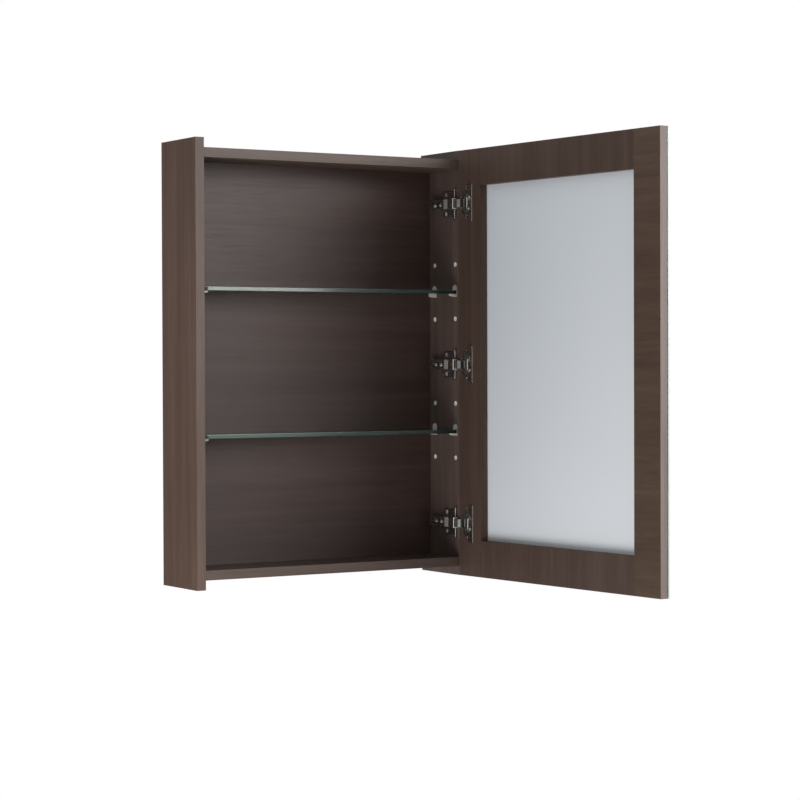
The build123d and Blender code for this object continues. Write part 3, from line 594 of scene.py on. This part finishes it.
# ---------------------------------------------------------------------------
# Making pieces
# ---------------------------------------------------------------------------


def owner(node: str) -> str:
    """The CAD body that a node belongs to."""
    bodies = frame["record"]["behaviour"]["bodies"]
    return next(body for body, nodes in bodies.items() if node in nodes)


def copied(node: str, delimit: set[str]) -> bmesh.types.BMesh:
    """A copy of a CAD node's mesh, welded, with its flat faces made whole.

    Args:
        node: The node's name.
        delimit: What stops two faces from being joined, besides their angle.

    Returns:
        The mesh.
    """
    mesh = bmesh.new()
    mesh.from_mesh(frame["nodes"][node].data)
    bmesh.ops.remove_doubles(mesh, verts=mesh.verts, dist=WELD)
    bmesh.ops.dissolve_limit(
        mesh, angle_limit=FLAT, verts=mesh.verts, edges=mesh.edges, delimit=delimit
    )
    return mesh


def as_piece(name: str, mesh: bmesh.types.BMesh, material: bpy.types.Material, body: str) -> bpy.types.Object:
    """Turn a finished mesh into a piece that rides on a body.

    Args:
        name: The piece's name.
        mesh: Its mesh, in the row frame; it is freed.
        material: Its finish.
        body: The body it moves with.

    Returns:
        The piece's object.
    """
    data = bpy.data.meshes.new(name)
    mesh.to_mesh(data)
    mesh.free()
    data.materials.append(material)
    data.shade_smooth()
    data.set_sharp_from_angle(angle=SMOOTH)
    piece = bpy.data.objects.new(name, data)
    bpy.context.scene.collection.objects.link(piece)
    shading = piece.modifiers.new("even_shading", "WEIGHTED_NORMAL")
    shading.keep_sharp = True
    shading.weight = FACE_WEIGHT
    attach(piece, body)
    log.info("%s: %d faces, on %s", name, len(data.polygons), body)
    return piece


def stand_in(node: str, mesh: bmesh.types.BMesh, material: bpy.types.Material) -> bpy.types.Object:
    """A piece that stands for a CAD node.

    Args:
        node: The node's name.
        mesh: The finished copy of its mesh.
        material: The finish.

    Returns:
        The piece.
    """
    piece = as_piece(f"{node}_finished", mesh, material, owner(node))
    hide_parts(node)
    return piece


def eased(node: str, width: float, material: bpy.types.Material) -> bpy.types.Object:
    """A copy of a CAD node with its sharp edges eased, which stands for the node.

    Args:
        node: The node's name.
        width: Width of the easing, in metres.
        material: The finish.

    Returns:
        The piece.
    """
    mesh = copied(node, {"NORMAL"})
    hard = [edge for edge in mesh.edges if edge.is_manifold and edge.calc_face_angle() > HARD]
    bmesh.ops.bevel(
        mesh, geom=hard, offset=width, offset_type="OFFSET", segments=EASE_STEPS, affect="EDGES",
        profile=ROUND_PROFILE, material=-1, clamp_overlap=True,
    )
    return stand_in(node, mesh, material)


def accent(piece: bpy.types.Object, material: bpy.types.Material,
           chosen: Callable[[Any], bool]) -> None:
    """Give some faces of a piece another finish.

    Args:
        piece: The piece.
        material: The other finish.
        chosen: Whether a face gets it.
    """
    piece.data.materials.append(material)
    for face in piece.data.polygons:
        if chosen(face):
            face.material_index = len(piece.data.materials) - 1


def dress(node: str, material: bpy.types.Material) -> None:
    """Put a finish on a CAD node that stays as it is."""
    part = frame["nodes"][node]
    if not part.material_slots:
        part.data.materials.append(None)
    for place in part.material_slots:
        place.link = "OBJECT"
        place.material = material
    log.info("%s: CAD shape kept", node)


# ---------------------------------------------------------------------------
# Sub-assemblies
# ---------------------------------------------------------------------------


@dataclass
class Case:
    """The carcass: sides, ends, back, edge bands, cleats and knock-down fittings."""

    arris: float = 0.35 * MM
    band_arris: float = 0.25 * MM
    timber_arris: float = 0.6 * MM
    band_overlap: float = 0.5 * MM

    def build(self) -> None:
        """Ease the boards and dress them."""
        outer, inner, end = OUTER_BOARD.mix(), INNER_BOARD.mix(), END_BOARD.mix()
        for node in ("side_panel_left", "side_panel_right"):
            accent(eased(node, self.arris, outer), inner, self.faces_inward)
        for node in ("top_panel", "bottom_panel"):
            eased(node, self.arris, end)
        dress("back_panel", BACK_BOARD.mix())
        self.bands()
        softwood = SOFTWOOD.mix()
        for node in ("cabinet_cleat", "wall_cleat", "spacer_rail"):
            eased(node, self.timber_arris, softwood)
        dress("case_dowels", softwood)
        zinc = ZINC.mix()
        dress("cam_locks", zinc)
        dress("cam_bolts", zinc)

    @staticmethod
    def faces_inward(face: bpy.types.MeshPolygon) -> bool:
        """Whether a side panel's face looks into the cabinet."""
        inward = -face.normal.x if face.center.x > 0 else face.normal.x
        return inward > NEARLY_SQUARE

    def bands(self) -> None:
        """Edge bands, with the grain along each of them."""
        piece = eased("case_edge_bands", self.band_arris, BAND_UP.mix())
        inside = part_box("top_panel")[1].x - self.band_overlap
        accent(piece, BAND_ACROSS.mix(), lambda face: abs(face.center.x) < inside)


@dataclass
class Shelves:
    """Glass shelves, their pegs and the sleeves in the side panels."""

    peg_arris: float = 0.3 * MM
    sleeve_arris: float = 0.15 * MM
    arris_specular: float = 0.5
    arris_tilt: float = 0.3

    def build(self) -> None:
        """Dress the glass and ease the metal."""
        low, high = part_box("shelf_upper")
        face = ClearGlass().mix()
        edge = GlassEdge("shelf_glass_edge", SHELF_DEEP, SHELF_PALE, low.x, high.x).mix()
        arris = GlassEdge("shelf_glass_arris", ARRIS_DEEP, ARRIS_PALE, low.x, high.x,
                          self.arris_specular).mix()
        for node in ("shelf_lower", "shelf_upper"):
            piece = stand_in(node, copied(node, set()), face)
            accent(piece, edge, lambda face: abs(face.normal.z) < NEARLY_SQUARE)
            accent(piece, arris, lambda face: self.arris_tilt < face.normal.z < NEARLY_SQUARE)
        nickel, peg_painted_shade = PEG_NICKEL.mix(), PEG_SHADED.mix()
        for node in ("shelf_pegs_lower", "shelf_pegs_upper"):
            pegs = eased(node, self.peg_arris, nickel)
            # The pegs on the left side take the darker copy of the nickel as painted shade.
            accent(pegs, peg_painted_shade, lambda face: face.center.x < 0)
        eased("peg_sleeves", self.sleeve_arris, SLEEVE_NICKEL.mix())


@dataclass
class Door:
    """The framed mirror door."""

    arris: float = 0.35 * MM
    band_arris: float = 0.2 * MM

    def build(self) -> None:
        """Ease and dress the frame, the mirror and what lies between them."""
        upright, level = DOOR_UP.mix(), DOOR_LEVEL.mix()
        eased("door_stile_hinge", self.arris, upright)
        eased("door_stile_free", self.arris, level)
        eased("door_rail_top", self.arris, upright)
        eased("door_rail_bottom", self.arris, upright)
        # The edge bands take the lighter laminate as painted light.
        eased("door_edge_bands", self.band_arris, DOOR_BAND_PAINTED_LIGHT.mix())
        dress("door_dowels", SOFTWOOD.mix())
        dress("mirror_tape", TAPE.mix())
        dress("mirror_paint", BackingPaint().mix())
        self.mirror()

    def mirror(self) -> None:
        """The glass: silvered faces, and polished edges with a green cast."""
        low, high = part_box("mirror_glass")
        piece = stand_in("mirror_glass", copied("mirror_glass", set()), Silvering().mix())
        edge = GlassEdge("mirror_glass_edge", MIRROR_DEEP, MIRROR_PALE, low.x, high.x).mix()
        half_widest = max(face.area for face in piece.data.polygons) / 2
        accent(piece, edge, lambda face: face.area <= half_widest)


@dataclass
class Hinges:
    """Three concealed cup hinges with their screws and pins.

    door_edge and across place the open door: a point on its hinge edge, and the way it runs.
    """

    heights: tuple[str, ...] = ("bottom", "middle", "top")
    plate_arris: float = 0.35 * MM
    arm_arris: float = 0.4 * MM
    link_arris: float = 0.5 * MM
    cup_arris: float = 0.3 * MM
    screw_arris: float = 0.12 * MM
    pad_span: tuple[float, float] = (17.0 * MM, 27.5 * MM)
    pad_rise: float = 0.8 * MM
    pad_margin: float = 1.2 * MM
    wing_start: float = 9.0 * MM
    wing_rise: float = 2.3 * MM
    nose_depth: float = 1.2 * MM
    nose_tilt: float = 0.3
    rim_span: tuple[float, float] = (23.6 * MM, 26.8 * MM)
    rim_rise: float = 0.1 * MM
    flange_end: float = 38.2 * MM
    door_edge: Point = (233.41 * MM, -124.25 * MM, 0.0)
    across: Point = (0.0610, -0.9981, 0.0)

    def build(self) -> None:
        """Ease the pressed steel and dress the screws."""
        nickel, steel = HINGE_NICKEL.mix(), SCREW_STEEL.mix()
        zinc, link = PAD_ZINC.mix(), LINK_PAINTED_SHADE.mix()
        # Both of these are painted highlights for the edges of the hinges.
        painted_highlight, far = PAINTED_EDGE_HIGHLIGHT.mix(), FLANGE_EDGE_HIGHLIGHT.mix()
        for height in self.heights:
            self.plate(height, nickel, painted_highlight)
            self.arm(height, nickel, painted_highlight)
            # The links take the darker nickel as painted shade.
            eased(f"hinge_link_{height}", self.link_arris, link)
            self.cup(height, nickel, painted_highlight, far)
            self.pad(height, zinc)
        for node in ("arm_screws", "cup_screws", "hinge_pins"):
            eased(node, self.screw_arris, steel)
        # The plate screws take the paler steel as a painted glint.
        eased("plate_screws", self.screw_arris, SCREW_PAINTED_GLINT.mix())

    def plate(self, height: str, nickel: bpy.types.Material, painted_highlight: bpy.types.Material) -> None:
        """A mounting plate, whose wings carry a painted highlight on their raised faces."""
        node = f"hinge_plate_{height}"
        low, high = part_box(f"hinge_arm_{height}")
        middle = (low.z + high.z) / 2
        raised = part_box(node)[1].x - self.wing_rise
        accent(
            eased(node, self.plate_arris, nickel), painted_highlight,
            lambda face: abs(face.center.z - middle) > self.wing_start and face.center.x < raised,
        )

    def arm(self, height: str, nickel: bpy.types.Material, painted_highlight: bpy.types.Material) -> None:
        """An arm, with a painted highlight on the curled edge of its nose."""
        node = f"hinge_arm_{height}"
        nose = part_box(node)[0].y + self.nose_depth
        accent(
            eased(node, self.arm_arris, nickel), painted_highlight,
            lambda face: face.center.y < nose and face.normal.y < -self.nose_tilt,
        )

    def cup(self, height: str, nickel: bpy.types.Material, painted_highlight: bpy.types.Material,
            far: bpy.types.Material) -> None:
        """A cup, with a painted highlight on its far rim and a duller, dimmer painted highlight on the edge
        at the end of its flange.
        """
        start, end = self.rim_span
        cup = eased(f"hinge_cup_{height}", self.cup_arris, nickel)
        # Painted highlight on the cup's far rim.
        accent(cup, painted_highlight, lambda face: start < self.along(face.center) < end
               and self.above(face.center) > self.rim_rise)
        # Dimmer painted highlight on the end of the flange.
        accent(cup, far, lambda face: self.along(face.center) > self.flange_end)

    def along(self, spot: Vector) -> float:
        """How far a point lies from the door's hinge edge, across the open door."""
        return (spot - Vector(self.door_edge)).dot(Vector(self.across))

    def above(self, spot: Vector) -> float:
        """How far a point lies above the open door's inner face."""
        outward = Vector((self.across[1], -self.across[0], 0))
        return (spot - Vector(self.door_edge)).dot(outward)

    def pad(self, height: str, material: bpy.types.Material) -> None:
        """The flat adjusting pad let into the front of an arm."""
        low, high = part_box(f"hinge_arm_{height}")
        start, end = (low.y + part for part in self.pad_span)
        sunk = self.pad_rise / 4
        middle = (low.x - sunk, (start + end) / 2, (low.z + high.z) / 2)
        mesh = bmesh.new()
        bmesh.ops.create_cube(mesh, size=1.0)
        bmesh.ops.scale(
            mesh, verts=mesh.verts,
            vec=(self.pad_rise, end - start, high.z - low.z - self.pad_margin),
        )
        bmesh.ops.translate(mesh, verts=mesh.verts, vec=middle)
        bmesh.ops.bevel(
            mesh, geom=mesh.edges[:], offset=sunk, offset_type="OFFSET", segments=EASE_STEPS,
            affect="EDGES", profile=ROUND_PROFILE, material=-1,
        )
        as_piece(f"hinge_pad_{height}", mesh, material, "case")


# ---------------------------------------------------------------------------
# Studio
# ---------------------------------------------------------------------------


@dataclass(frozen=True)
class Lamp:
    """A square soft light aimed at a point, with its side in metres and its power in watts."""

    name: str
    spot: Point
    target: Point
    size: float
    power: float

    def light(self) -> None:
        """Put the lamp in the scene."""
        data = bpy.data.lights.new(self.name, "AREA")
        data.shape = "SQUARE"
        data.size = self.size
        data.energy = self.power
        lamp = bpy.data.objects.new(self.name, data)
        bpy.context.scene.collection.objects.link(lamp)
        aim = (Vector(self.target) - Vector(self.spot)).to_track_quat("-Z", "Y")
        lamp.matrix_world = Matrix.Translation(self.spot) @ aim.to_matrix().to_4x4()


@dataclass
class Studio:
    """Camera, floor, and soft lights."""

    eye: Point = (-1.9110, -3.4076, -0.2410)
    yaw: float = 31.715
    pitch: float = 0.946
    roll: float = -0.192
    lens: float = 105.48
    sensor: float = 36.0
    sight: float = 100.0
    floor_drop: float = 1.6
    floor_size: float = 40.0
    floor_light: Colour = (0.80, 0.80, 0.80)
    floor_shade: Colour = (0.76, 0.76, 0.76)
    room: float = 0.49
    paper: float = 0.65
    room_edge: float = 0.35
    lamps: tuple[Lamp, ...] = (
        Lamp("key", (1.45, -2.85, 0.5), (0.0, -0.2, -0.35), size=1.5, power=84.0),
        Lamp("bounce", (-1.5, -0.95, -1.7), (0.2, -0.3, -0.45), size=1.4, power=31.0),
    )

    def camera(self) -> None:
        """A camera that looks slightly down on the cabinet from its left."""
        yaw, pitch, roll = radians(self.yaw), radians(self.pitch), radians(self.roll)
        ahead = Vector((sin(yaw) * cos(pitch), cos(yaw) * cos(pitch), -sin(pitch)))
        level = Vector((cos(yaw), -sin(yaw), 0))
        upright = level.cross(ahead)
        right = level * cos(roll) + upright * sin(roll)
        up = upright * cos(roll) - level * sin(roll)
        turn = Matrix((right, up, -ahead)).transposed().to_4x4()
        data = bpy.data.cameras.new("camera")
        data.lens = self.lens
        data.sensor_width = self.sensor
        data.clip_end = self.sight
        view = bpy.data.objects.new("camera", data)
        bpy.context.scene.collection.objects.link(view)
        view.matrix_world = Matrix.Translation(self.eye) @ turn
        bpy.context.scene.camera = view

    def floor(self) -> None:
        """A plain floor below the cabinet, which shows to the camera as bright paper."""
        mesh = bmesh.new()
        bmesh.ops.create_grid(mesh, x_segments=1, y_segments=1, size=self.floor_size / 2)
        drop = Vector((0, 0, CAD_BOX[0][2] - self.floor_drop))
        bmesh.ops.translate(mesh, verts=mesh.verts, vec=drop)
        data = bpy.data.meshes.new("floor")
        mesh.to_mesh(data)
        mesh.free()
        sheet = Recipe("floor_paper")
        mottle = sheet.noise(sheet.place(), scale=2.0)
        paper = sheet.blend(mottle * 0.2, self.floor_light, self.floor_shade)
        sheet.coat(base_color=paper, roughness=0.9)
        seen = sheet.node("ShaderNodeLightPath", output="Is Camera Ray")
        glow = sheet.node("ShaderNodeEmission")
        sheet.finish(sheet.node("ShaderNodeMixShader", {}, {0: seen, 1: sheet.surface, 2: glow}))
        data.materials.append(sheet.material)
        ground = bpy.data.objects.new("floor", data)
        bpy.context.scene.collection.objects.link(ground)

    def world(self) -> None:
        """White paper all round: bright behind the cabinet, dim in front, where the room is."""
        world = bpy.data.worlds.new("studio")
        world.use_nodes = True
        sky = Graph(world.node_tree)
        way = sky.node("ShaderNodeTexCoord", output="Generated")
        depth = sky.node("ShaderNodeSeparateXYZ", {}, {0: way}, output="Y")
        paper = depth.spread(-self.room_edge, self.room_edge, self.room, self.paper)
        seen = sky.node("ShaderNodeLightPath", output="Is Camera Ray")
        strength = sky.node("ShaderNodeMix", {}, {0: seen, 2: paper, 3: 1.0})
        shade = sky.node(
            "ShaderNodeBackground", {}, {"Color": (1.0, 1.0, 1.0), "Strength": strength}
        )
        sky.node("ShaderNodeOutputWorld", {}, {0: shade})
        bpy.context.scene.world = world

    def build(self) -> None:
        """Set up the whole studio."""
        self.camera()
        self.floor()
        for lamp in self.lamps:
            lamp.light()
        self.world()
        bpy.context.scene.view_settings.view_transform = "Standard"


def main() -> None:
    """Build every sub-assembly and the studio."""
    Studio().build()
    for assembly in (Case(), Shelves(), Door(), Hinges()):
        log.info("building %s", type(assembly).__name__)
        assembly.build()
    bpy.context.view_layer.update()


if __name__ == "__main__":
    main()
